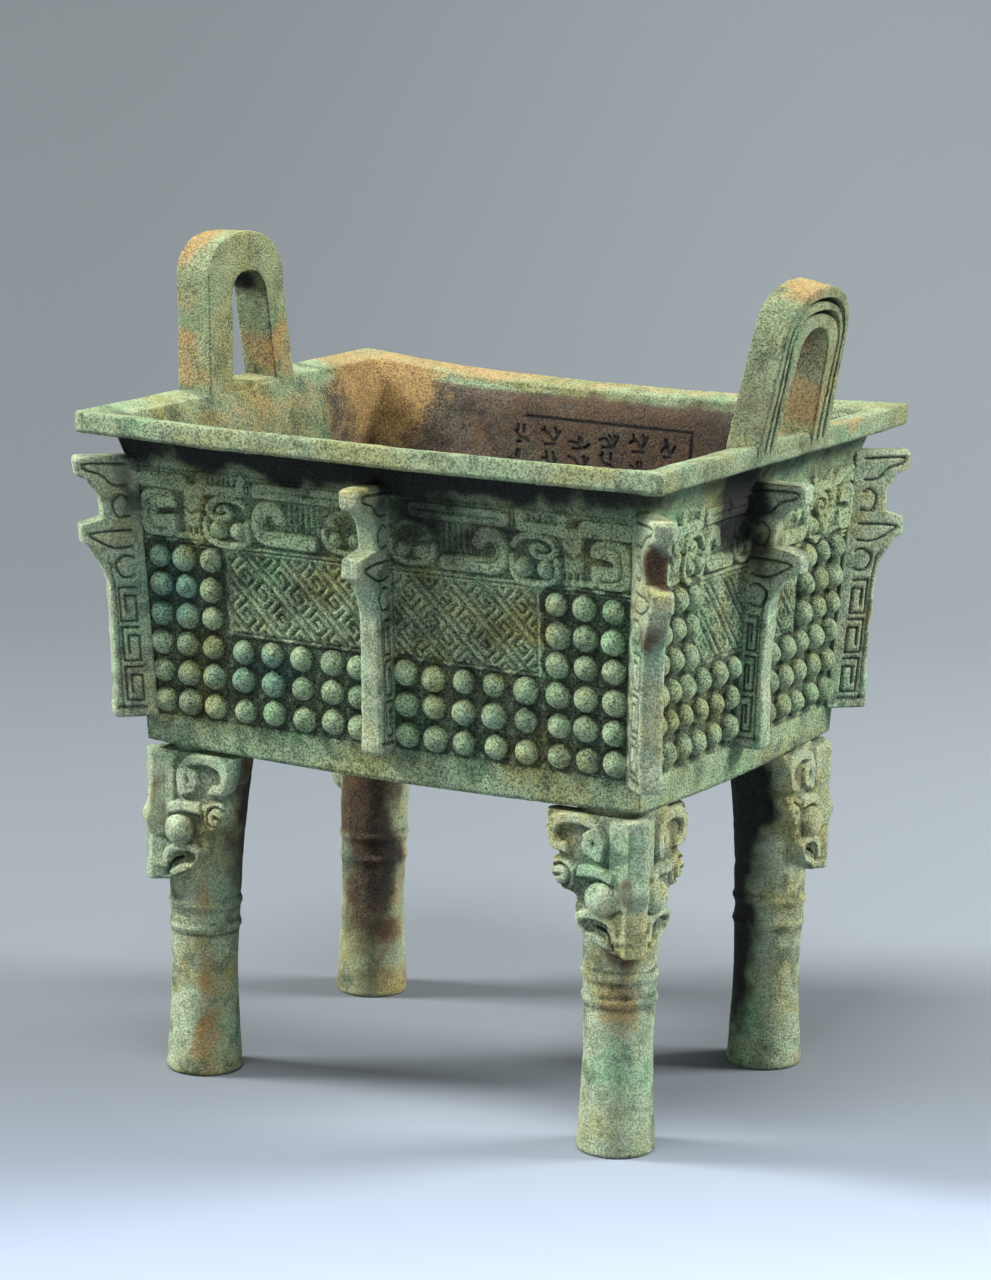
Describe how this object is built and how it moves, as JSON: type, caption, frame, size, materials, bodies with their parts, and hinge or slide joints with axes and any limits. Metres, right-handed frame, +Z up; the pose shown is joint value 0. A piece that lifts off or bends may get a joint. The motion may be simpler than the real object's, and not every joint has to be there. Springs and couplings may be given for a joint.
{
  "type": "bronze ding vessel",
  "caption": "Open rectangular cast bronze cauldron on round legs, with two upright loop ears, hooked flanges, studded walls and beast masks on the legs.",
  "frame": {"origin": "on the ground under the middle of the whole outline", "axes": "+X along the long walls, towards the ear that leans outwards; -Y out of the front long wall; +Z up"},
  "size_m": [0.2308, 0.1924, 0.2768],
  "materials": {
    "patinated_bronze": "cast bronze with a rough grey-green patina, dark soot in the hollows and ochre earth stains"
  },
  "bodies": {
    "root": {"ding_vessel": "patinated_bronze"}
  },
  "joints": []
}
